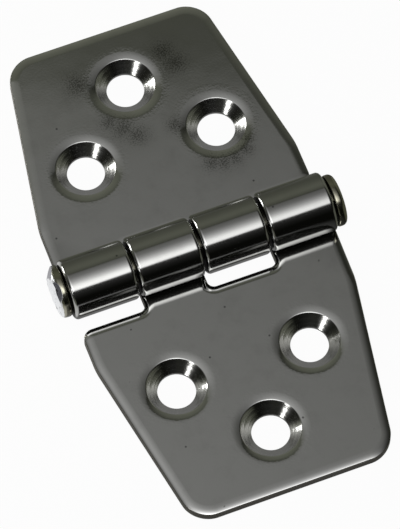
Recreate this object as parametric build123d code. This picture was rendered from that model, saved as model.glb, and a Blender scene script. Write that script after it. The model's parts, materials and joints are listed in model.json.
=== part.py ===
from build123d import *

import os
from math import acos, degrees, radians, tan

# A stamped steel hinge, lying open and flat. Millimetres.
# The pin lies along X, the leaves reach out along Y, and their backs lie on Z = 0.

# Sheet and pin
SHEET = 2.0  # thickness of the steel that both leaves are stamped from
PIN_DIAMETER = 4.4
PIN_CLEARANCE = 0.05  # room round the pin inside the knuckles
HEAD_CLEARANCE = 0.3  # room along the pin between the turned head and the end of the barrel
PEEN_CLEARANCE = 0.05  # the same at the hammered head

# Leaf outline
LEAF_WIDTH = 38.0  # where the sides start to taper
TAB_FLARE = 0.25  # how much further out each side reaches at the pin
LEAF_REACH = 37.2  # from the pin axis to the end of a leaf
FLANK_REACH = 11.3  # from the pin axis to where the sides start to taper
END_WIDTH = 28.9  # across the end of a leaf, between its corners before rounding
END_CORNER = 4.0
FLANK_CORNER = 10.0
BACK_ROUND = 0.4  # edge of the back, which the roll turns to the outside of the knuckles

# Buffing, which leaves the front face falling away towards every edge and hole
BUFF_WIDTH = 1.2
BUFF_DROP = 0.2
BUFF_EDGE = 0.4  # round between the buffed strip and the wall of the sheet or of a countersink

# Knuckles and the slots that clear them
KNUCKLE_COUNT = 4
KNUCKLE_GAP = 0.4  # between neighbouring knuckles
UPPER_SLOT_CLEARANCE = 0.5  # from the outside of the barrel to the edge of a slot
LOWER_SLOT_CLEARANCE = 1.3
SLOT_CORNER = 1.0
SLOT_MOUTH = 1.5  # outer corner of a slot that opens into the flank
CURL_GAP = 0.15  # between the end of the roll and the leaf under it

# Screw holes
HOLE_DIAMETER = 5.3
HOLE_LAND = 0.25  # straight wall left under the countersink
SINK_ANGLE = 90.0  # full angle of the countersink
PAIR_SPACING = 19.4  # between the two holes beside the barrel
PAIR_REACH = 17.8  # from the pin axis to those two holes
END_HOLE_REACH = 28.1  # from the pin axis to the hole near the end

# Pin heads: a turned one on the +X end, a hammered one on the -X end
HEAD_DIAMETER = 7.4
HEAD_HEIGHT = 1.35
HEAD_ROUND = 0.7
HEAD_UNDER_ROUND = 0.3
PEEN_DIAMETER = 7.4
PEEN_FACE_DIAMETER = 6.7  # the hammered face is a little smaller than the rim behind it
PEEN_HEIGHT = 1.6
PEEN_SHOULDER = 0.45  # from the hammered face to the full width of the rim
PEEN_EDGE_ROUND = 0.15
PEEN_SHOULDER_ROUND = 0.3
PEEN_UNDER_ROUND = 0.5

# Worked out from the sizes above
PIN_RADIUS = PIN_DIAMETER / 2
BARREL_RADIUS = PIN_RADIUS + PIN_CLEARANCE + SHEET
AXIS_HEIGHT = BARREL_RADIUS  # the barrel is flush with the backs of the leaves
PIN_AXIS = Axis((0, 0, AXIS_HEIGHT), (-1, 0, 0))
HALF_WIDTH = LEAF_WIDTH / 2
BARREL_HALF = HALF_WIDTH + TAB_FLARE
KNUCKLE_LENGTH = (LEAF_WIDTH - (KNUCKLE_COUNT - 1) * KNUCKLE_GAP) / KNUCKLE_COUNT
ROLL_ANGLE = 360 - degrees(acos((AXIS_HEIGHT - SHEET - CURL_GAP) / BARREL_RADIUS))
SINK_DEPTH = SHEET - BUFF_DROP - HOLE_LAND
SINK_RADIUS = HOLE_DIAMETER / 2 + SINK_DEPTH * tan(radians(SINK_ANGLE / 2))
NEAR = 0.001  # how closely a place has to match when edges are picked by it


def slot_corners(blank, slot_reach, at_flank):
    """Corners along the slots' edge, either those on a flank or those inside."""
    corners = blank.vertices().filter_by(lambda corner: abs(corner.Y - slot_reach) < NEAR)
    return corners.filter_by(lambda corner: (HALF_WIDTH - abs(corner.X) < NEAR) == at_flank)


def leaf_blank(first_knuckle, slot_clearance):
    """Flat outline of a leaf: a tapered plate with a tab for every second knuckle."""
    sides = FilletPolyline(
        (-BARREL_HALF, 0),
        (-HALF_WIDTH, FLANK_REACH),
        (-END_WIDTH / 2, LEAF_REACH),
        (END_WIDTH / 2, LEAF_REACH),
        (HALF_WIDTH, FLANK_REACH),
        (BARREL_HALF, 0),
        radius=[FLANK_CORNER, END_CORNER, END_CORNER, FLANK_CORNER],
    )
    blank = make_face(sides.edges() + [Line(sides @ 1, sides @ 0)])
    slot_reach = BARREL_RADIUS + slot_clearance
    slot = Rectangle(KNUCKLE_LENGTH + 2 * KNUCKLE_GAP, slot_reach, align=Align.MIN)
    for index in range(1 - first_knuckle, KNUCKLE_COUNT, 2):
        knuckle_start = index * (KNUCKLE_LENGTH + KNUCKLE_GAP) - HALF_WIDTH
        blank -= Pos(knuckle_start - KNUCKLE_GAP, 0) * slot
    blank = fillet(slot_corners(blank, slot_reach, at_flank=False), SLOT_CORNER)
    return fillet(slot_corners(blank, slot_reach, at_flank=True), SLOT_MOUTH)


def outline_edges(plate, height):
    """Edges all round the plate at one height, but not those across the ends of the tabs."""
    level = plate.edges().filter_by(lambda edge: abs(edge.center().Z - height) < NEAR)
    return level.filter_by(lambda edge: edge.center().Y > NEAR and not edge.is_closed)


def buffed(plate):
    """Take the front face down towards its edges and round what is left of them."""
    front = plate.faces().sort_by(Axis.Z)[-1]
    plate = chamfer(outline_edges(plate, SHEET), BUFF_WIDTH, BUFF_DROP, reference=front)
    return fillet(outline_edges(plate, SHEET - BUFF_DROP), BUFF_EDGE)


def screw_holes(plate):
    """Sink the pair of holes beside the barrel and the one near the end, with buffed lips."""
    upright = (Align.CENTER, Align.CENTER, Align.MIN)
    cutter = Cylinder(HOLE_DIAMETER / 2, HOLE_LAND, align=upright)
    cutter += Pos(0, 0, HOLE_LAND) * Cone(HOLE_DIAMETER / 2, SINK_RADIUS, SINK_DEPTH, align=upright)
    cutter += Pos(0, 0, SHEET - BUFF_DROP) * Cone(
        SINK_RADIUS, SINK_RADIUS + BUFF_WIDTH, BUFF_DROP, align=upright
    )
    for x, y in ((-PAIR_SPACING / 2, PAIR_REACH), (PAIR_SPACING / 2, PAIR_REACH), (0, END_HOLE_REACH)):
        plate -= Pos(x, y) * cutter
    lips = plate.edges().filter_by(lambda edge: edge.is_closed)
    return fillet(lips.filter_by(lambda edge: abs(edge.center().Z - SHEET + BUFF_DROP) < NEAR), BUFF_EDGE)


def rolled_leaf(first_knuckle, slot_clearance):
    """One stamping, with each tab rolled under the pin, up and over it, and back down to the leaf."""
    plate = extrude(leaf_blank(first_knuckle, slot_clearance), SHEET)
    plate = fillet(outline_edges(plate, 0), BACK_ROUND)
    plate = screw_holes(buffed(plate))
    tab_ends = plate.faces().group_by(Axis.Y)[0]
    return plate + [revolve(tab_end, PIN_AXIS, ROLL_ANGLE) for tab_end in tab_ends]


def headed_pin():
    """Pin with its turned head and its hammered head, as one turned profile."""
    head_seat = BARREL_HALF + HEAD_CLEARANCE
    head_face = head_seat + HEAD_HEIGHT
    peen_seat = -BARREL_HALF - PEEN_CLEARANCE
    peen_face = peen_seat - PEEN_HEIGHT
    profile = FilletPolyline(
        (peen_face, 0),
        (peen_face, PEEN_FACE_DIAMETER / 2),
        (peen_face + PEEN_SHOULDER, PEEN_DIAMETER / 2),
        (peen_seat, PEEN_DIAMETER / 2),
        (peen_seat, PIN_RADIUS),
        (head_seat, PIN_RADIUS),
        (head_seat, HEAD_DIAMETER / 2),
        (head_face, HEAD_DIAMETER / 2),
        (head_face, 0),
        radius=[PEEN_EDGE_ROUND, PEEN_SHOULDER_ROUND, PEEN_UNDER_ROUND, 0, 0, HEAD_UNDER_ROUND, HEAD_ROUND],
    )
    section = make_face(profile.edges() + [Line(profile @ 1, profile @ 0)])
    return Pos(0, 0, AXIS_HEIGHT) * revolve(section, Axis.X)


def main():
    os.makedirs("parts", exist_ok=True)
    upper_leaf = rolled_leaf(0, UPPER_SLOT_CLEARANCE)
    lower_leaf = Rot(0, 0, 180) * rolled_leaf(KNUCKLE_COUNT % 2, LOWER_SLOT_CLEARANCE)
    export_step(upper_leaf, "parts/upper_leaf.step")
    export_step(lower_leaf, "parts/lower_leaf.step")
    export_step(headed_pin(), "parts/hinge_pin.step")


main()
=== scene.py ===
"""A polished stamped steel hinge lying open on a white floor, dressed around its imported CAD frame."""

import json
import logging
import math
from dataclasses import dataclass, field
from enum import Enum
from typing import Any, Iterable, Optional, Sequence, Union

import bmesh
import bpy
from mathutils import Matrix, Vector, noise


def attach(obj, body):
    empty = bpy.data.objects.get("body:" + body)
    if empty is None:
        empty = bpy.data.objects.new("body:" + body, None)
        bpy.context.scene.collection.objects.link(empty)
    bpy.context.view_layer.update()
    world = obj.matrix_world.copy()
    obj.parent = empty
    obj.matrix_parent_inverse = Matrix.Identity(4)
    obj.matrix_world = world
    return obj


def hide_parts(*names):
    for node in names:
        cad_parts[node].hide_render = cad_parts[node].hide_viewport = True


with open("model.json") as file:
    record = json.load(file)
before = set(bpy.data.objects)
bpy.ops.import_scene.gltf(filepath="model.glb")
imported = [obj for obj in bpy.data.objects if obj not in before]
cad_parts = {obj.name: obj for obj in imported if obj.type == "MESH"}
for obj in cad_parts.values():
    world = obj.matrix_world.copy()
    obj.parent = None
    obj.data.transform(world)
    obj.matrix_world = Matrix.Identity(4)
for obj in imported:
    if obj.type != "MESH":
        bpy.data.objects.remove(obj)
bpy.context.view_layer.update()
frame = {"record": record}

log = logging.getLogger("hinge")

MM = 0.001
NEAR = 0.001 * MM
UP = Vector((0.0, 0.0, 1.0))

Number = Union[float, int]
Profile = list[tuple[float, float]]


class LeafSide(Enum):
    """The two leaves: CAD node that each stands for, body that it rides on, and sizes in which they differ."""

    UPPER = ("upper_leaf", "fixed_leaf", 0.5 * MM, 0.12 * MM, 12.0)
    LOWER = ("lower_leaf", "swing_leaf", 1.3 * MM, 0.36 * MM, 20.0)

    @property
    def node(self) -> str:
        """Name of the CAD node that the leaf replaces."""
        return self.value[0]

    @property
    def body(self) -> str:
        """Name of the body that the leaf moves with."""
        return self.value[1]

    @property
    def slot_clearance(self) -> float:
        """Room between the outside of the barrel and the edge of the leaf's slots."""
        return self.value[2]

    @property
    def tab_flare(self) -> float:
        """How far the outermost knuckle stands out past the leaf's side."""
        return self.value[3]

    @property
    def edge_slope(self) -> float:
        """Slope in degrees to which buffing has worn the edge of the front."""
        return self.value[4]


class Zone(Enum):
    """Vertex attributes that tell a material how a patch of the steel was worked, and so, for SHEARED and ROLLED,
    where the leaf's material paints shade.

    On the pin, SHEARED marks the chips in the rim of the hammered head.
    """

    SHEARED = "sheared"
    SUNK = "sunk"
    STRETCHED = "stretched"
    ROLLED = "rolled"


def mount(name: str) -> dict[str, Any]:
    """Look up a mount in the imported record.

    Args:
        name: The mount's name.

    Returns:
        The mount's entry.
    """
    return next(entry for entry in frame["record"]["mounts"] if entry["name"] == name)


def arc(radius: float, start: float, end: float, steps: int) -> Profile:
    """Points on a circle round the origin.

    Args:
        radius: Radius of the circle.
        start: First angle in degrees, from the first axis to the second.
        end: Last angle in degrees.
        steps: How many equal steps the arc is cut into.

    Returns:
        The points, both ends included.
    """
    angles = (math.radians(start + (end - start) * step / steps) for step in range(steps + 1))
    return [(radius * math.cos(angle), radius * math.sin(angle)) for angle in angles]


def shown(bm: bmesh.types.BMesh, name: str, sharp_angle: float = 30.0) -> bpy.types.Object:
    """Close a mesh up, shade it and put it in the scene.

    Args:
        bm: The finished bmesh, which is freed.
        name: The new object's name.
        sharp_angle: Edges that turn by more than this many degrees stay crisp.

    Returns:
        The new object, at the origin.
    """
    bmesh.ops.remove_doubles(bm, verts=bm.verts[:], dist=NEAR)
    bmesh.ops.recalc_face_normals(bm, faces=bm.faces[:])
    for face in bm.faces:
        face.smooth = True
    mesh = bpy.data.meshes.new(name)
    bm.to_mesh(mesh)
    bm.free()
    mesh.set_sharp_from_angle(angle=math.radians(sharp_angle))
    piece = bpy.data.objects.new(name, mesh)
    bpy.context.scene.collection.objects.link(piece)
    return piece


class Wire:
    """A number in a shader, which Python's operators turn into Math nodes."""

    def __init__(self, graph: "NodeGraph", socket: bpy.types.NodeSocket) -> None:
        """Wrap one output socket of a graph."""
        self.graph = graph
        self.socket = socket

    def math(self, operation: str, *others: Union["Wire", Number]) -> "Wire":
        """Feed this number, and others after it, into a Math node."""
        return self.graph.math(operation, self, *others)

    def __add__(self, other: Union["Wire", Number]) -> "Wire":
        """Sum."""
        return self.math("ADD", other)

    __radd__ = __add__

    def __sub__(self, other: Union["Wire", Number]) -> "Wire":
        """Difference."""
        return self.math("SUBTRACT", other)

    def __rsub__(self, other: Number) -> "Wire":
        """Difference from a plain number."""
        return self.graph.math("SUBTRACT", other, self)

    def __mul__(self, other: Union["Wire", Number]) -> "Wire":
        """Product."""
        return self.math("MULTIPLY", other)

    __rmul__ = __mul__

    def __truediv__(self, other: Union["Wire", Number]) -> "Wire":
        """Quotient."""
        return self.math("DIVIDE", other)

    def __neg__(self) -> "Wire":
        """Opposite number."""
        return self * -1.0

    def squared(self) -> "Wire":
        """Square."""
        return self * self

    def most(self, other: Union["Wire", Number]) -> "Wire":
        """Greater of two numbers."""
        return self.math("MAXIMUM", other)

    def bell(self, width: float) -> "Wire":
        """A smooth bump that is 1 where this number is 0.

        Args:
            width: Distance at which the bump has fallen to about a third.

        Returns:
            The height of the bump.
        """
        return self.graph.math("EXPONENT", -(self / width).squared())

    def step(self, low: float, high: float) -> "Wire":
        """A smooth step from 0 to 1.

        Args:
            low: Where the step starts.
            high: Where it ends; below low for a step down.

        Returns:
            The height of the step.
        """
        if high < low:
            return 1.0 - self.step(high, low)
        settings = {"interpolation_type": "SMOOTHSTEP"}
        inputs = {"Value": self, "From Min": low, "From Max": high}
        return self.graph.number("ShaderNodeMapRange", settings, inputs, "Result")


class NodeGraph:
    """A node tree that is written in expressions."""

    def __init__(self, tree: bpy.types.NodeTree) -> None:
        """Empty the tree, ready for new nodes."""
        self.tree = tree
        tree.nodes.clear()

    def node(self, kind: str, settings: Optional[dict] = None, inputs: Optional[dict] = None) -> bpy.types.Node:
        """Add a node.

        Args:
            kind: The node's type.
            settings: Attributes that are set before the sockets; "stops" fills a colour ramp.
            inputs: Values or links of the sockets, by name or number.

        Returns:
            The node.
        """
        node = self.tree.nodes.new(kind)
        for key, value in (settings or {}).items():
            if key == "stops":
                self._fill_ramp(node.color_ramp, value)
            else:
                setattr(node, key, value)
        for key, value in (inputs or {}).items():
            self._feed(node.inputs[key], value)
        return node

    def _fill_ramp(self, ramp: bpy.types.ColorRamp, stops: Sequence[tuple[float, Sequence[float]]]) -> None:
        """Give a colour ramp its stops.

        Args:
            ramp: The ramp.
            stops: Positions and colours in rising order.
        """
        while len(ramp.elements) < len(stops):
            ramp.elements.new(1.0)
        for element, (position, color) in zip(ramp.elements, stops):
            element.position = position
            element.color = (*color, 1.0)

    def _feed(self, socket: bpy.types.NodeSocket, value: Any) -> None:
        """Link a wire or a socket to an input, or set a plain value on it.

        Args:
            socket: The input.
            value: A wire, a socket, or a value that suits the input.
        """
        if isinstance(value, Wire):
            value = value.socket
        if isinstance(value, bpy.types.NodeSocket):
            self.tree.links.new(value, socket)
        else:
            socket.default_value = value

    def number(self, kind: str, settings: Optional[dict], inputs: Optional[dict], output: str) -> Wire:
        """Add a node and take one number from it, by the name of the output."""
        return Wire(self, self.node(kind, settings, inputs).outputs[output])

    def math(self, operation: str, *values: Union[Wire, Number]) -> Wire:
        """Add a Math node with these inputs in order, and take its result."""
        return self.number("ShaderNodeMath", {"operation": operation}, dict(enumerate(values)), "Value")

    def mixed(self, factor: Union[Wire, Number], first: Any, second: Any) -> bpy.types.NodeSocket:
        """Mix two colours.

        Args:
            factor: Share of the second colour.
            first: Colour at a share of 0.
            second: Colour at a share of 1.

        Returns:
            The mixed colour.
        """
        settings = {"data_type": "RGBA", "clamp_factor": True}
        # A Mix node has its colours at inputs 6 and 7 and at output 2
        inputs = {0: factor, 6: rgba(first), 7: rgba(second)}
        return self.node("ShaderNodeMix", settings, inputs).outputs[2]

    def blended(self, factor: Wire, first: bpy.types.Node, second: bpy.types.Node) -> bpy.types.Node:
        """Mix two shaders.

        Args:
            factor: Share of the second shader.
            first: Shader at a share of 0.
            second: Shader at a share of 1.

        Returns:
            The mixing node.
        """
        return self.node("ShaderNodeMixShader", None, {0: factor, 1: first.outputs[0], 2: second.outputs[0]})

    def axes(self, vector: bpy.types.NodeSocket) -> tuple[Wire, Wire, Wire]:
        """Split a vector into its three numbers."""
        split = self.node("ShaderNodeSeparateXYZ", None, {"Vector": vector})
        return tuple(Wire(self, split.outputs[axis]) for axis in "XYZ")

    def place(self) -> bpy.types.NodeSocket:
        """The place on the piece, in metres."""
        return self.node("ShaderNodeTexCoord").outputs["Object"]

    def zone(self, zone: Zone) -> Wire:
        """How far a patch belongs to a worked zone, from 0 to 1."""
        settings = {"attribute_type": "GEOMETRY", "attribute_name": zone.value}
        return self.number("ShaderNodeAttribute", settings, None, "Fac")

    def cloud(self, where: Any, size: float, detail: float = 2.0, roughness: float = 0.5) -> Wire:
        """Cloudy noise around 0.5.

        Args:
            where: The place to read it at.
            size: Size of its largest blotches in metres.
            detail: How many finer layers are added.
            roughness: Share that each finer layer adds.

        Returns:
            The noise.
        """
        inputs = {"Vector": where, "Scale": 1.0 / size, "Detail": detail, "Roughness": roughness}
        return self.number("ShaderNodeTexNoise", None, inputs, "Fac")

    def metal(self, color: bpy.types.NodeSocket, rough: Wire, relief: Wire) -> None:
        """End the tree in bare metal.

        Args:
            color: Colour of the metal.
            rough: How rough it is.
            relief: Height of its fine grain in metres.
        """
        bump = self.node("ShaderNodeBump", None, {"Strength": 1.0, "Distance": 1.0, "Height": relief})
        shader = self.node("ShaderNodeBsdfPrincipled", None, {
            "Base Color": color, "Metallic": 1.0, "Roughness": rough, "Normal": bump.outputs["Normal"]})
        self.node("ShaderNodeOutputMaterial", None, {"Surface": shader.outputs["BSDF"]})


def empty_material(name: str) -> tuple[bpy.types.Material, NodeGraph]:
    """Make a material that has no nodes yet.

    Args:
        name: The material's name.

    Returns:
        The material, and the graph that its nodes are written in.
    """
    material = bpy.data.materials.new(name)
    material.use_nodes = True
    return material, NodeGraph(material.node_tree)


def rgba(color: Any) -> Any:
    """Add an alpha of 1 to a plain colour, and leave a socket alone."""
    return (*color, 1.0) if isinstance(color, tuple) and len(color) == 3 else color


@dataclass(frozen=True)
class LeafFinish:
    """Polished stainless sheet: bright faces, dull sheared edges and turned countersinks, with painted shade on the
    barrel, the sheared edges and the knuckles' ends, and painted dark reflection beside the upper leaf's holes.
    """

    # Colours of the faces, the barrel (a darker copy of the face steel, painted shade), the sheared edges (partly
    # painted shade), the knuckles' ends (painted shade in the gaps) and the countersinks
    steel: tuple[float, float, float] = (0.62, 0.62, 0.61)
    shaded_barrel: tuple[float, float, float] = (0.42, 0.42, 0.41)
    edge: tuple[float, float, float] = (0.2, 0.19, 0.165)
    painted_gap_shade: tuple[float, float, float] = (0.02, 0.02, 0.018)
    sink: tuple[float, float, float] = (0.50, 0.50, 0.48)
    face_roughness: float = 0.06
    barrel_roughness: float = 0.115
    edge_roughness: float = 0.42
    sink_roughness: float = 0.16
    grain_size: float = 0.3 * MM
    grain_height: float = 0.0006 * MM
    pebble_height: float = 0.004 * MM
    wave_size: float = 5.0 * MM
    wave_height: float = 0.006 * MM
    ring_pitch: float = 0.26 * MM
    ring_height: float = 0.016 * MM
    # Faint cloudy stains
    stain: tuple[float, float, float] = (0.2, 0.2, 0.19)
    stain_size: float = 3.0 * MM
    stain_levels: tuple[float, float] = (0.45, 0.8)
    stain_share: float = 0.12
    stain_roughness: float = 0.04
    # Single dark specks, where the stain's noise is high
    speck: tuple[float, float, float] = (0.1, 0.1, 0.1)
    speck_spacing: float = 7.0 * MM
    speck_size: float = 0.2 * MM
    speck_core: float = 0.4
    speck_levels: tuple[float, float] = (0.5, 0.55)
    speck_share: float = 0.8
    # Painted dark reflection on the upper leaf beside its holes, as speckled dark patches
    reflection_dark: tuple[float, float, float] = (0.1, 0.1, 0.085)
    reflection_dark_grain: float = 0.2 * MM
    reflection_dark_levels: tuple[float, float] = (0.59, 0.7)
    reflection_dark_crowding: float = 0.16
    reflection_dark_speckle: float = 0.6
    reflection_dark_film: float = 0.2
    # Their places across and along the leaf and their radii, in millimetres
    reflection_dark_spots: tuple[tuple[float, float, float], ...] = (
        (-4.2, 23.3, 1.6), (-2.6, 21.8, 2.2), (-1.2, 20.1, 2.0), (6.8, 31.2, 2.2), (7.7, 29.0, 2.4), (4.2, 19.7, 1.5),
        (-6.3, 30.5, 2.5), (13.0, 14.1, 1.3), (12.2, 12.7, 1.6), (10.3, 11.9, 1.7), (8.6, 11.8, 1.7), (7.0, 12.3, 1.7))

    def material(self, name: str) -> bpy.types.Material:
        """Make the leaf's material.

        Args:
            name: The material's name.

        Returns:
            The material.
        """
        material, graph = empty_material(name)
        where = graph.place()
        height = graph.axes(where)[2]
        sheared = graph.zone(Zone.SHEARED)
        sunk = graph.zone(Zone.SUNK)
        rolled = graph.zone(Zone.ROLLED)
        stretched = graph.zone(Zone.STRETCHED)
        grain = graph.cloud(where, self.grain_size, detail=1.5)
        wave = graph.cloud(where, self.wave_size, detail=1.0)
        tone = graph.cloud(where, self.stain_size, detail=4.0, roughness=0.6)
        rings = graph.number(
            "ShaderNodeTexNoise", {"noise_dimensions": "1D"},
            {"W": height, "Scale": 1.0 / self.ring_pitch, "Detail": 1.0}, "Fac")
        # Painted shade: the barrel is a darker copy of the face steel, the sheared edges are partly darkened and the
        # knuckles' ends are near black in the gaps
        face = graph.mixed(rolled, self.steel, self.shaded_barrel)
        edge = graph.mixed(rolled, self.edge, self.painted_gap_shade)
        color = graph.mixed(sunk, graph.mixed(sheared, face, edge), self.sink)
        color = graph.mixed(tone.step(*self.stain_levels) * self.stain_share, color, self.stain)
        speck = graph.number(
            "ShaderNodeTexVoronoi", {"voronoi_dimensions": "2D"},
            {"Vector": where, "Scale": 1.0 / self.speck_spacing}, "Distance")
        speck_rim = self.speck_size / self.speck_spacing
        speck = speck.step(speck_rim, self.speck_core * speck_rim)
        color = graph.mixed(speck * tone.step(*self.speck_levels) * self.speck_share, color, self.speck)
        # Painted dark reflection beside the upper leaf's holes
        color = graph.mixed(self._painted_dark_reflection(graph, where) * (1.0 - sunk) * (1.0 - sheared), color, self.reflection_dark)
        rough = self.face_roughness + (self.barrel_roughness - self.face_roughness) * rolled
        rough = rough + (self.edge_roughness - rough) * sheared
        rough = rough + (self.sink_roughness - rough) * sunk
        rough = rough + (tone - 0.5) * self.stain_roughness
        relief = grain * (self.grain_height + self.pebble_height * stretched)
        relief = relief + wave * self.wave_height * (1.0 - rolled)
        relief = relief + rings * self.ring_height * sunk
        graph.metal(color, rough, relief)
        return material

    def _painted_dark_reflection(self, graph: NodeGraph, where: bpy.types.NodeSocket) -> Wire:
        """Painted dark reflection beside the upper leaf's holes: a dark film and fine speckle.

        Args:
            graph: The material's node tree.
            where: The place on the piece.

        Returns:
            How much of the steel they cover.
        """
        across, along, _ = graph.axes(where)
        near = None
        for x, y, radius in self.reflection_dark_spots:
            away = graph.math("SQRT", (across - x * MM).squared() + (along - y * MM).squared())
            spot = away.bell(radius * MM)
            near = spot if near is None else near.most(spot)
        speckle = graph.cloud(where, self.reflection_dark_grain, roughness=0.6) + near * self.reflection_dark_crowding
        return (speckle.step(*self.reflection_dark_levels) * self.reflection_dark_speckle + self.reflection_dark_film) * near


@dataclass(frozen=True)
class PinFinish:
    """Polished pin with one end hammered over, where the bare steel is rough and pale; that pale colour is partly
    painted highlight.
    """

    steel: tuple[float, float, float] = (0.34, 0.33, 0.26)
    bare_and_highlight: tuple[float, float, float] = (0.9, 0.91, 0.93)
    chip: tuple[float, float, float] = (0.27, 0.27, 0.3)
    pit: tuple[float, float, float] = (0.08, 0.08, 0.08)
    roughness: float = 0.2
    bare_roughness: float = 0.4
    # Where the bare end starts along the pin, how far that line wanders and half of how soft it is
    bare_from: float = -20.5 * MM
    bare_wander: float = 0.3 * MM
    bare_fade: float = 0.04 * MM
    pit_size: float = 0.6 * MM
    pit_levels: tuple[float, float] = (0.61, 0.66)
    dent_height: float = 0.03 * MM
    grain_size: float = 0.3 * MM
    grain_height: float = 0.0011 * MM
    bare_grain_height: float = 0.01 * MM
    grain_roughness: float = 0.08

    def material(self, name: str) -> bpy.types.Material:
        """Make the pin's material.

        Args:
            name: The material's name.

        Returns:
            The material.
        """
        material, graph = empty_material(name)
        where = graph.place()
        along = graph.axes(where)[0]
        blotch = graph.cloud(where, self.pit_size, detail=3.0, roughness=0.6)
        grain = graph.cloud(where, self.grain_size)
        chipped = graph.zone(Zone.SHEARED)
        border = along + (blotch - 0.5) * self.bare_wander
        bare_and_highlight = border.step(self.bare_from + self.bare_fade, self.bare_from - self.bare_fade).most(chipped)
        pits = blotch.step(*self.pit_levels) * bare_and_highlight
        # The bare end's pale colour is partly painted highlight
        color = graph.mixed(chipped, graph.mixed(bare_and_highlight, self.steel, self.bare_and_highlight), self.chip)
        color = graph.mixed(pits, color, self.pit)
        rough = self.roughness + (self.bare_roughness - self.roughness) * bare_and_highlight + (grain - 0.5) * self.grain_roughness
        relief = (blotch * self.dent_height + grain * self.bare_grain_height) * bare_and_highlight + grain * self.grain_height
        graph.metal(color, rough, relief)
        return material


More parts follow.
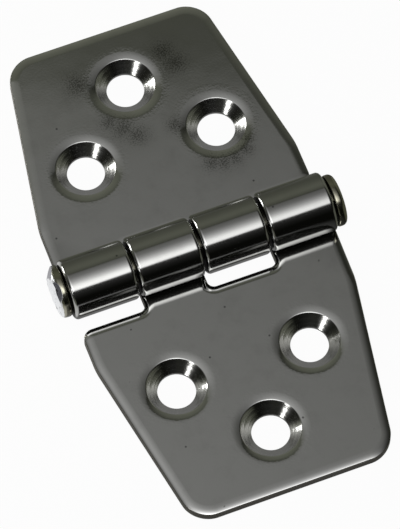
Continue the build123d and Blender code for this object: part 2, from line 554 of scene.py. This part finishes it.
@dataclass
class StampedLeaf:
    """One leaf: a stamped, buffed and countersunk sheet with two tabs rolled into knuckles."""

    side: LeafSide
    sheet: float = 2.0 * MM
    width: float = 38.0 * MM
    reach: float = 37.2 * MM
    flank_reach: float = 11.3 * MM
    end_width: float = 28.9 * MM
    end_corner: float = 4.0 * MM
    flank_corner: float = 10.0 * MM
    barrel_radius: float = 4.25 * MM
    knuckle_count: int = 4
    knuckle_gap: float = 0.4 * MM
    slot_corner: float = 1.0 * MM
    slot_mouth: float = 1.5 * MM
    curl_gap: float = 0.15 * MM
    back_round: float = 0.5 * MM
    edge_round: float = 0.12 * MM
    # Buffed fall at the front's edge: how fast and how wide it fades, and how its steps crowd to the edge
    buff_fall: float = 0.42 * MM
    buff_width: float = 1.3 * MM
    buff_fade: int = 3
    buff_crowding: float = 1.6
    flat_margin: float = 0.05 * MM
    hole_land: float = 0.48 * MM
    hole_edge: float = 0.08 * MM
    sink_radius: float = 4.2 * MM
    # Rounded top of the countersink: steps in from its rim, with the share of the cone's drop there
    sink_crest: tuple[tuple[float, float], ...] = ((0.03 * MM, 0.75), (0.08 * MM, 1.0))
    lip_radius: float = 5.4 * MM
    lip_drop: float = 0.068 * MM
    dish_radius: float = 6.5 * MM
    dish_depth: float = 0.012 * MM
    tab_stub: float = 3.0 * MM
    # Steps of the meshed curves; the sheared ones of the front's rounding are as dull as the wall and take its dark
    # colour, which is partly painted shade
    round_steps: int = 6
    sheared_steps: int = 4
    buff_steps: int = 9
    lip_steps: int = 24
    hole_steps: int = 120
    roll_steps: int = 144
    sharp_angle: float = 38.0
    zones: dict[Zone, Any] = field(default_factory=dict)

    @property
    def slot_reach(self) -> float:
        """Distance from the pin axis to the edge of the slots."""
        return self.barrel_radius + self.side.slot_clearance

    @property
    def hole_radius(self) -> float:
        """Radius of the screw holes, as the mount gives it."""
        return mount("upper_end_screw")["dims"]["r_mm"] * MM

    @property
    def hole_places(self) -> list[Vector]:
        """Screw holes of a leaf that is not turned, as the upper leaf's mounts give them.

        Returns:
            The middles of the three holes, on the back.
        """
        pair = mount("upper_screw_pair")
        half_spacing = pair["dims"]["spacing_x_mm"] * MM / 2
        pair_reach = pair["pos_m"][1]
        end_reach = mount("upper_end_screw")["pos_m"][1]
        places = ((-half_spacing, pair_reach), (half_spacing, pair_reach), (0, end_reach))
        return [Vector((x, y, 0)) for x, y in places]

    @property
    def roll_angle(self) -> float:
        """How far each tab is rolled round the pin, in radians."""
        return 2 * math.pi - math.acos((self.barrel_radius - self.sheet - self.curl_gap) / self.barrel_radius)

    def front_profile(self) -> Profile:
        """Round and buff the edge of the front.

        Returns:
            Steps in from the wall, and heights.
        """
        slope = math.radians(self.side.edge_slope)
        drop = self.buff_fall * math.tan(slope)
        shoulder = self.edge_round * (1 - math.sin(slope))
        low = self.sheet - drop - self.edge_round * math.cos(slope)
        points = [
            (self.edge_round + x, low + z)
            for x, z in arc(self.edge_round, 180.0, 90.0 + self.side.edge_slope, self.round_steps)
        ]
        for step in range(1, self.buff_steps + 1):
            run = (self.buff_width - shoulder) * (step / self.buff_steps) ** self.buff_crowding
            fade = 1 - (run / (self.buff_width - shoulder)) ** self.buff_fade
            points.append((shoulder + run, self.sheet - drop * math.exp(-run / self.buff_fall) * fade))
        points.append((self.buff_width + self.flat_margin, self.sheet))
        return points

    def back_profile(self) -> Profile:
        """Round the edge of the back.

        Returns:
            Steps in from the wall, and heights.
        """
        points = [
            (self.back_round + x, self.back_round - z)
            for x, z in arc(self.back_round, 180.0, 90.0, self.round_steps)
        ]
        points.append((self.back_round + self.flat_margin, 0.0))
        return points

    def sink_height(self, radius: float) -> float:
        """Height of the front face round a hole.

        Args:
            radius: Distance from the middle of the hole.

        Returns:
            The height, with the shallow dish and the buffed lip.
        """
        dish = max(0.0, (self.dish_radius - radius) / (self.dish_radius - self.sink_radius))
        lip = max(0.0, (self.lip_radius - radius) / (self.lip_radius - self.sink_radius))
        return self.sheet - self.dish_depth * dish ** 2 - self.lip_drop * lip ** 2

    def sink_profile(self) -> Profile:
        """Dish, buff and countersink a hole.

        Returns:
            Radii and heights, from the flat front to the flat back.
        """
        points = [(self.dish_radius + self.flat_margin, self.sheet)]
        for step in range(self.lip_steps):
            radius = self.dish_radius + (self.sink_radius - self.dish_radius) * step / self.lip_steps
            points.append((radius, self.sink_height(radius)))
        lip_height = self.sink_height(self.sink_radius)
        points.append((self.sink_radius, lip_height))
        cone_slope = (lip_height - self.hole_land) / (self.sink_radius - self.hole_radius)
        for run, share in self.sink_crest:
            points.append((self.sink_radius - run, lip_height - cone_slope * run * share))
        points.append((self.hole_radius, self.hole_land))
        points.append((self.hole_radius, self.hole_edge))
        points.append((self.hole_radius + self.hole_edge, 0.0))
        points.append((self.hole_radius + self.hole_edge + self.flat_margin, 0.0))
        return points

    def _blank(self, bm: bmesh.types.BMesh) -> bmesh.types.BMFace:
        """Stamp out the flat blank.

        Args:
            bm: The mesh to add it to.

        Returns:
            The blank, a face with rounded corners and with tabs that reach past the pin.
        """
        half = self.width / 2
        pitch = (self.width + self.knuckle_gap) / self.knuckle_count
        slot_width = pitch + self.knuckle_gap
        first_slot = pitch - self.knuckle_gap - half
        second_slot = first_slot + 2 * pitch
        kink = math.atan2(half - self.end_width / 2, self.reach - self.flank_reach)
        corner = {"slot": [], "mouth": [], "flank": [], "end": [], "square": []}
        outline = []
        for x, y, kind in (
            (-half - self.side.tab_flare, -self.tab_stub, "square"),
            (first_slot, -self.tab_stub, "square"),
            (first_slot, self.slot_reach, "slot"),
            (first_slot + slot_width, self.slot_reach, "slot"),
            (first_slot + slot_width, -self.tab_stub, "square"),
            (second_slot, -self.tab_stub, "square"),
            (second_slot, self.slot_reach, "slot"),
            (half, self.slot_reach, "mouth"),
            (half, self.flank_reach, "flank"),
            (self.end_width / 2, self.reach, "end"),
            (-self.end_width / 2, self.reach, "end"),
            (-half, self.flank_reach, "flank"),
        ):
            vert = bm.verts.new((x, y, 0.0))
            outline.append(vert)
            corner[kind].append(vert)
        bm.faces.new(outline)
        right_angle = math.pi / 2
        for kind, radius, turn, segments in (
            ("slot", self.slot_corner, right_angle, 12),
            ("mouth", self.slot_mouth, right_angle, 16),
            ("flank", self.flank_corner, kink, 10),
            ("end", self.end_corner, right_angle - kink, 26),
        ):
            bmesh.ops.bevel(
                bm, geom=corner[kind], offset=radius * math.tan(turn / 2), offset_type="OFFSET", segments=segments,
                profile=0.5, affect="VERTICES", material=-1)
        return bm.faces[:][0]

    def _inset(self, bm: bmesh.types.BMesh, face: bmesh.types.BMFace, profile: Profile) -> None:
        """Shape the edge of a face by insetting it step by step.

        Args:
            bm: The mesh.
            face: The face, which ends up as the flat inside the last step.
            profile: Steps in from the wall and heights.
        """
        for (inner, _), (outer, height) in zip(profile, profile[1:]):
            bmesh.ops.inset_region(
                bm, faces=[face], thickness=outer - inner, depth=0.0, use_even_offset=True, use_boundary=True)
            for vert in face.verts:
                vert.co.z = height

    def _sink(self, bm: bmesh.types.BMesh, place: Vector) -> tuple[list, list]:
        """Turn one countersunk hole.

        Args:
            bm: The mesh to add it to.
            place: Middle of the hole on the back.

        Returns:
            The edges of its rim in the front face, and of its rim in the back.
        """
        profile = self.sink_profile()
        verts = [bm.verts.new((place.x + radius, place.y, height)) for radius, height in profile]
        for vert, (radius, height) in zip(verts, profile):
            vert[self.zones[Zone.SUNK]] = float(radius < self.sink_radius - NEAR and height > NEAR)
            outside = min(radius - self.sink_radius, self.dish_radius - radius) / (self.lip_radius - self.sink_radius)
            vert[self.zones[Zone.STRETCHED]] = min(1.0, max(0.0, outside)) if height > self.sheet / 2 else 0.0
        edges = [bm.edges.new(pair) for pair in zip(verts, verts[1:])]
        known = set(bm.verts) - set(verts)
        bmesh.ops.spin(
            bm, geom=verts + edges, cent=place, axis=UP, angle=2 * math.pi, steps=self.hole_steps, use_merge=True)
        turned = [edge for edge in bm.edges if edge.is_boundary and not known & set(edge.verts)]
        front = [edge for edge in turned if min(vert.co.z for vert in edge.verts) > self.sheet / 2]
        back = [edge for edge in turned if max(vert.co.z for vert in edge.verts) < self.sheet / 2]
        return front, back

    def _fill(self, bm: bmesh.types.BMesh, face: bmesh.types.BMFace, rims: Iterable) -> None:
        """Replace a flat face by one that the holes pierce.

        Args:
            bm: The mesh.
            face: The flat face.
            rims: Edges of the holes' rims in it.
        """
        edges = list(face.edges) + list(rims)
        bmesh.ops.delete(bm, geom=[face], context="FACES_ONLY")
        bmesh.ops.triangle_fill(bm, use_beauty=True, use_dissolve=False, edges=edges)

    def _roll(self, bm: bmesh.types.BMesh) -> None:
        """Cut the tabs off under the pin and roll each cut end round it.

        Args:
            bm: The mesh of the flat leaf.
        """
        geom = bm.verts[:] + bm.edges[:] + bm.faces[:]
        bmesh.ops.bisect_plane(bm, geom=geom, dist=NEAR, plane_co=(0, 0, 0), plane_no=(0, -1, 0), clear_outer=True)
        cut = [edge for edge in bm.edges if edge.is_boundary]
        verts = list({vert for edge in cut for vert in edge.verts})
        rolled = self.zones[Zone.ROLLED]
        for vert in verts:
            vert[rolled] = 1.0
        turned = bmesh.ops.spin(
            bm, geom=verts + cut, cent=(0, 0, self.barrel_radius), axis=(-1, 0, 0), angle=self.roll_angle,
            steps=self.roll_steps)
        last = [item for item in turned["geom_last"] if isinstance(item, bmesh.types.BMEdge)]
        bmesh.ops.edgeloop_fill(bm, edges=last)

    def build(self) -> bpy.types.Object:
        """Stamp, buff, countersink and roll the leaf.

        Returns:
            The leaf's object.
        """
        bm = bmesh.new()
        for zone in Zone:
            bm.verts.layers.float.new(zone.value)
        self.zones = {zone: bm.verts.layers.float[zone.value] for zone in Zone}
        front_profile, back_profile = self.front_profile(), self.back_profile()
        back = self._blank(bm)
        walls = bmesh.ops.extrude_face_region(bm, geom=[back], use_keep_orig=True)
        front = next(item for item in walls["geom"] if isinstance(item, bmesh.types.BMFace))
        for face, profile in ((front, front_profile), (back, back_profile)):
            for vert in face.verts:
                vert.co.z = profile[0][1]
        self._inset(bm, front, front_profile)
        self._inset(bm, back, back_profile)
        for vert in bm.verts:
            on_wall = back_profile[0][1] - NEAR < vert.co.z < front_profile[self.sheared_steps][1] + NEAR
            vert[self.zones[Zone.SHEARED]] = float(on_wall)
        rims = [self._sink(bm, place) for place in self.hole_places]
        self._fill(bm, front, [edge for rim, _ in rims for edge in rim])
        self._fill(bm, back, [edge for _, rim in rims for edge in rim])
        self._roll(bm)
        if self.side is LeafSide.LOWER:
            bmesh.ops.rotate(bm, verts=bm.verts[:], cent=(0, 0, 0), matrix=Matrix.Rotation(math.pi, 3, UP))
        return shown(bm, f"stamped_{self.side.node}", self.sharp_angle)

    def dress(self, piece: bpy.types.Object, material: bpy.types.Material) -> None:
        """Give the leaf its finish and hang it on the frame.

        Args:
            piece: The leaf's object.
            material: Its finish.
        """
        piece.data.materials.append(material)
        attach(piece, self.side.body)
        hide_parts(self.side.node)


@dataclass
class HeadedPin:
    """The pin: a shank with a smooth turned head at one end and a hammered head at the other."""

    axis_height: float = 4.25 * MM
    shank_radius: float = 2.2 * MM
    head_seat: float = 19.55 * MM
    head_radius: float = 3.7 * MM
    head_height: float = 1.35 * MM
    head_round: float = 0.7 * MM
    head_under_round: float = 0.3 * MM
    peen_seat: float = -19.2 * MM
    peen_radius: float = 3.7 * MM
    peen_face_radius: float = 3.35 * MM
    peen_height: float = 1.68 * MM
    peen_shoulder: float = 0.45 * MM
    peen_edge_round: float = 0.15 * MM
    peen_shoulder_round: float = 0.3 * MM
    peen_under_round: float = 0.5 * MM
    head_offset: float = 0.22 * MM
    # Dents of the hammered face: depth, size, mean, and layer, size and share of the finer ones among them
    dent_depth: float = 0.14 * MM
    dent_size: float = 1.5 * MM
    dent_mean: float = 0.6
    fine_layer: float = 7.0
    fine_size: float = 0.6
    fine_share: float = 0.35
    # How far the dents push the rim out, as a share of its radius, and the dent that leaves it alone
    rim_swell: float = 0.018
    rim_still: float = 0.4
    # Flats where the rim is chipped: the way that each faces, and how far it lies from the middle of the pin
    chips: tuple[tuple[Vector, float], ...] = (
        (Vector((-0.893, 0.409, 0.188)), 19.5 * MM), (Vector((-0.682, -0.305, 0.664)), 16.4 * MM))
    face_cuts: int = 22
    round_steps: int = 8
    steps: int = 120
    sharp_angle: float = 40.0

    def build(self) -> bpy.types.Object:
        """Turn the pin on its axis and hammer one end.

        Returns:
            The pin's object.
        """
        bm = bmesh.new()
        bm.verts.layers.float.new(Zone.SHEARED.value)
        peen_face, head_face = self.peen_seat - self.peen_height, self.head_seat + self.head_height
        corners = []
        for x, radius, rounding in (
            (peen_face, 0.0, 0.0),
            (peen_face, self.peen_face_radius, self.peen_edge_round),
            (peen_face + self.peen_shoulder, self.peen_radius, self.peen_shoulder_round),
            (self.peen_seat, self.peen_radius, self.peen_under_round),
            (self.peen_seat, self.shank_radius, 0.0),
            (self.head_seat, self.shank_radius, 0.0),
            (self.head_seat, self.head_radius, self.head_under_round),
            (head_face, self.head_radius, self.head_round),
            (head_face, 0.0, 0.0),
        ):
            corners.append((bm.verts.new((x, 0.0, radius)), rounding))
        bm.faces.new([vert for vert, _ in corners])
        for vert, rounding in corners:
            if rounding:
                bmesh.ops.bevel(
                    bm, geom=[vert], offset=rounding, offset_type="OFFSET", segments=self.round_steps, profile=0.5,
                    affect="VERTICES", material=-1)
        bmesh.ops.delete(bm, geom=bm.faces[:], context="FACES_ONLY")
        core = [edge for edge in bm.edges if max(vert.co.z for vert in edge.verts) < NEAR]
        bmesh.ops.delete(bm, geom=core, context="EDGES")
        face_line = [edge for edge in bm.edges if max(vert.co.x for vert in edge.verts) < peen_face + NEAR]
        bmesh.ops.subdivide_edges(bm, edges=face_line, cuts=self.face_cuts)
        bmesh.ops.spin(
            bm, geom=bm.verts[:] + bm.edges[:], cent=(0, 0, 0), axis=(1, 0, 0), angle=2 * math.pi, steps=self.steps,
            use_merge=True)
        bmesh.ops.remove_doubles(bm, verts=bm.verts[:], dist=NEAR)
        self._hammer(bm)
        for seat, shift in ((self.head_seat, -self.head_offset), (self.peen_seat, self.head_offset)):
            head = [vert for vert in bm.verts if vert.co.x / seat > 1 - NEAR and self._wide(vert)]
            bmesh.ops.translate(bm, verts=head, vec=(0, shift, 0))
        bmesh.ops.translate(bm, verts=bm.verts[:], vec=(0, 0, self.axis_height))
        return shown(bm, "headed_pin", self.sharp_angle)

    def _wide(self, vert: bmesh.types.BMVert) -> bool:
        """Whether a vertex of the unshifted pin isn't part of its shank."""
        on_shank = abs(math.hypot(vert.co.y, vert.co.z) - self.shank_radius) < NEAR
        return not (on_shank and self.peen_seat - NEAR < vert.co.x < self.head_seat + NEAR)

    def _hammer(self, bm: bmesh.types.BMesh) -> None:
        """Dent the hammered face, make its rim uneven and chip the rim.

        Args:
            bm: The mesh of the pin, still round the X axis.
        """
        chipped = bm.verts.layers.float[Zone.SHEARED.value]
        for vert in bm.verts:
            depth = (self.peen_seat - vert.co.x) / self.peen_height
            if depth <= 0:
                continue
            blow = noise.noise(Vector((0.0, vert.co.y, vert.co.z)) / self.dent_size)
            fine = noise.noise(Vector((self.fine_layer, vert.co.y, vert.co.z)) / (self.fine_size * self.dent_size))
            vert.co.x += self.dent_depth * depth * (self.dent_mean + blow + self.fine_share * fine)
            rim = 1 + self.rim_swell * depth * (blow - self.rim_still)
            vert.co.y *= rim
            vert.co.z *= rim
            for toward, reach in self.chips:
                facing = toward.normalized()
                excess = max(0.0, vert.co.dot(facing) - reach)
                vert.co -= facing * excess
                vert[chipped] = max(vert[chipped], float(excess > 0))

    def dress(self, piece: bpy.types.Object, material: bpy.types.Material) -> None:
        """Give the pin its finish and hang it on the frame.

        Args:
            piece: The pin's object.
            material: Its finish.
        """
        piece.data.materials.append(material)
        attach(piece, "fixed_leaf")
        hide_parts("hinge_pin")


@dataclass(frozen=True)
class Lamp:
    """A soft oblong lamp that shines at the hinge.

    It hangs at a distance toward a direction. Lengths are in metres and the roll is in degrees.
    """

    name: str
    toward: tuple[float, float, float]
    distance: float
    width: float
    height: float
    roll: float
    brightness: float


@dataclass
class Studio:
    """White floor, soft overhead panel, two small lamps and the camera."""

    floor_size: float = 3.0
    floor_drop: float = 0.05 * MM
    floor_white: tuple[float, float, float] = (0.9, 0.9, 0.9)
    floor_glow: float = 0.96
    # The floor as the steel mirrors it, darkened near the hinge as a painted shadow: brightness of that shadow, its
    # reach, bright strips on the left and at the near end, right end
    mirrored_shadow_glow: float = 0.25
    mirrored_reach: float = 60.0 * MM
    mirrored_left: tuple[float, float] = (-19.8 * MM, -21.2 * MM)
    mirrored_near: tuple[float, float] = (-38.0 * MM, -41.0 * MM)
    mirrored_right: tuple[float, float] = (26.0 * MM, 8.0 * MM)
    camera_aim: tuple[float, float, float] = (0.152 * MM, -0.865 * MM, 0.0)
    camera_distance: float = 618.76 * MM
    camera_elevation: float = 63.914
    camera_turn: float = 20.49
    camera_roll: float = -0.457
    camera_lens: float = 305.585
    camera_sensor: float = 36.0
    lamps: tuple[Lamp, ...] = (
        Lamp("near_lamp", (-0.794, -0.377, 0.48), 0.25, 0.045, 0.075, 40.0, 5.0),
        Lamp("left_lamp", (-0.665, 0.735, 0.135), 0.357, 0.14, 0.11, 0.0, 9.0),
    )
    # Overhead panel; its stops, like those of the walls, are leans in degrees and brightnesses
    panel_center: float = -0.12
    panel_spread: float = 0.34
    panel_gain: float = 1.916
    panel_skew: float = 0.35
    panel_far_edge: tuple[float, float] = (0.511, 0.4985)
    panel_stops: tuple[tuple[float, float], ...] = (
        (-28.5, 0.07), (-25.5, 0.152), (-22.3, 0.185), (-13.0, 0.262), (-5.0, 0.44), (3.0, 0.71), (11.0, 1.12),
        (19.0, 1.72), (26.0, 2.05), (33.5, 2.1), (38.5, 0.04), (55.0, 0.012), (70.0, 0.0))
    wall_center: float = 0.1
    wall_spread: float = 0.55
    wall_tint: tuple[float, float, float] = (1.0, 1.04, 0.83)
    wall_stops: tuple[tuple[float, float], ...] = (
        (-90.0, 0.111), (-70.0, 0.14), (-54.0, 0.178), (-45.0, 0.185), (-37.0, 0.155), (-31.0, 0.125), (-28.5, 0.088),
        (-26.0, 0.038), (-22.0, 0.036), (-13.0, 0.025), (0.0, 0.005), (90.0, 0.005))
    # Low light from the sides, which reaches higher on the far side
    side_light: float = 0.15
    side_shade: float = 0.012
    side_tops: tuple[float, float] = (0.34, 0.22)
    side_far: tuple[float, float] = (-0.1, 0.2)
    side_far_rise: float = 0.33
    side_inner: tuple[float, float] = (0.3, 0.5)
    side_left_end: tuple[float, float] = (-0.92, -0.82)

    def build(self) -> None:
        """Set up the floor, the light and the camera."""
        self._floor()
        self._sky()
        for lamp in self.lamps:
            self._lamp(lamp)
        self._camera()
        bpy.context.scene.view_settings.view_transform = "Standard"

    def _floor(self) -> None:
        """Lay the white floor, which keeps a faint shadow; the steel mirrors it only close by, dimmed by a painted
        shadow under and near the hinge.
        """
        bm = bmesh.new()
        bmesh.ops.create_grid(bm, x_segments=1, y_segments=1, size=self.floor_size / 2)
        bmesh.ops.translate(bm, verts=bm.verts[:], vec=(0, 0, -self.floor_drop))
        floor = shown(bm, "floor")
        material, graph = empty_material("floor_white")
        path = graph.node("ShaderNodeLightPath")
        glossy = Wire(graph, path.outputs["Is Glossy Ray"])
        seen = Wire(graph, path.outputs["Is Camera Ray"]) + Wire(graph, path.outputs["Is Transmission Ray"])
        across, along, _ = graph.axes(graph.place())
        near = graph.math("SQRT", across.squared() + along.squared()).bell(self.mirrored_reach)
        near = near * across.step(*self.mirrored_right)
        paper = graph.node("ShaderNodeBsdfDiffuse", None, {"Color": rgba(self.floor_white)})
        glow = graph.node("ShaderNodeEmission", None, {"Strength": 1.0})
        # The dim glow is a painted shadow of the hinge on the floor, as the steel mirrors it
        shadow_glow = graph.node("ShaderNodeEmission", None, {"Strength": self.mirrored_shadow_glow})
        gone = graph.node("ShaderNodeBsdfTransparent")
        floor_seen = graph.blended(seen * self.floor_glow, paper, glow)
        lit = across.step(*self.mirrored_left).most(along.step(*self.mirrored_near))
        floor_mirrored = graph.blended(near, gone, graph.blended(lit, shadow_glow, glow))
        surface = graph.blended(glossy, floor_seen, floor_mirrored)
        graph.node("ShaderNodeOutputMaterial", None, {"Surface": surface.outputs[0]})
        floor.data.materials.append(material)

    def _sky(self) -> None:
        """Light the room with a soft panel overhead, dim olive walls and low light from the sides."""
        world = bpy.data.worlds.new("studio")
        world.use_nodes = True
        bpy.context.scene.world = world
        graph = NodeGraph(world.node_tree)
        across, along, upward = graph.axes(graph.node("ShaderNodeTexCoord").outputs["Generated"])
        lean = graph.math("ARCTAN2", -along, upward) * (180.0 / math.pi)
        panel = self._falloff(graph, lean, self.panel_stops) * self.panel_gain
        panel = panel * (across - self.panel_center).bell(self.panel_spread)
        panel = panel * (along + across * self.panel_skew).step(*self.panel_far_edge)
        walls = self._falloff(graph, lean, self.wall_stops) * (across - self.wall_center).bell(self.wall_spread)
        band = (upward - along.step(*self.side_far) * self.side_far_rise).step(*self.side_tops)
        sides = self.side_shade + (self.side_light - self.side_shade) * band * across.step(*self.side_left_end)
        sides = sides * (across - self.wall_center).math("ABSOLUTE").step(*self.side_inner)
        base = graph.node("ShaderNodeBackground", None, {"Color": rgba(self.wall_tint), "Strength": walls + sides})
        soft = graph.node("ShaderNodeBackground", None, {"Color": (1.0, 1.0, 1.0, 1.0), "Strength": panel})
        both = graph.node("ShaderNodeAddShader", None, {0: base.outputs[0], 1: soft.outputs[0]})
        graph.node("ShaderNodeOutputWorld", None, {"Surface": both.outputs[0]})

    def _falloff(self, graph: NodeGraph, lean: Wire, stops: Sequence[tuple[float, float]]) -> Wire:
        """Brightness of the room by how far a direction leans from straight up.

        Args:
            graph: The world's node tree.
            lean: The lean in degrees, from the far side (-90) to the near side (90).
            stops: Leans and brightnesses in rising order.

        Returns:
            The brightness.
        """
        brightest = max(level for _, level in stops)
        colors = [((angle + 90.0) / 180.0, (level / brightest,) * 3) for angle, level in stops]
        ramp = graph.node("ShaderNodeValToRGB", {"stops": colors}, {"Fac": (lean + 90.0) / 180.0})
        return Wire(graph, ramp.outputs["Color"]) * brightest

    def _lamp(self, lamp: Lamp) -> None:
        """Hang one lamp.

        Args:
            lamp: Where it hangs and how bright it looks.
        """
        light = bpy.data.lights.new(lamp.name, "AREA")
        light.shape = "RECTANGLE"
        light.size = lamp.width
        light.size_y = lamp.height
        light.energy = lamp.brightness * math.pi * lamp.width * lamp.height
        piece = bpy.data.objects.new(lamp.name, light)
        direction = Vector(lamp.toward).normalized()
        piece.location = direction * lamp.distance
        facing = direction.to_track_quat("Z", "Y").to_matrix()
        piece.rotation_euler = (facing @ Matrix.Rotation(math.radians(lamp.roll), 3, "Z")).to_euler()
        bpy.context.scene.collection.objects.link(piece)

    def _camera(self) -> None:
        """Stand the camera where the photograph was taken from."""
        elevation, turn = math.radians(self.camera_elevation), math.radians(self.camera_turn)
        level_share = math.cos(elevation)
        back = Vector((-math.sin(turn) * level_share, -math.cos(turn) * level_share, math.sin(elevation)))
        data = bpy.data.cameras.new("camera")
        data.lens = self.camera_lens
        data.sensor_width = self.camera_sensor
        camera = bpy.data.objects.new("camera", data)
        right = UP.cross(back).normalized()
        level = Matrix((right, back.cross(right), back)).transposed()
        tilt = Matrix.Rotation(math.radians(self.camera_roll), 3, "Z")
        camera.matrix_world = Matrix.Translation(
            Vector(self.camera_aim) + back * self.camera_distance) @ (level @ tilt).to_4x4()
        bpy.context.scene.collection.objects.link(camera)
        bpy.context.scene.camera = camera


def report(piece: bpy.types.Object) -> None:
    """Write a finished piece in the log."""
    log.info("%s has %d faces", piece.name, len(piece.data.polygons))


def main() -> None:
    """Build the hinge and the studio around it."""
    logging.basicConfig(level=logging.INFO, format="%(name)s: %(message)s")
    leaf_steel = LeafFinish().material("leaf_steel")
    for side in LeafSide:
        leaf = StampedLeaf(side)
        piece = leaf.build()
        leaf.dress(piece, leaf_steel)
        report(piece)
    pin = HeadedPin()
    piece = pin.build()
    pin.dress(piece, PinFinish().material("pin_steel"))
    report(piece)
    Studio().build()


if __name__ == "__main__":
    main()
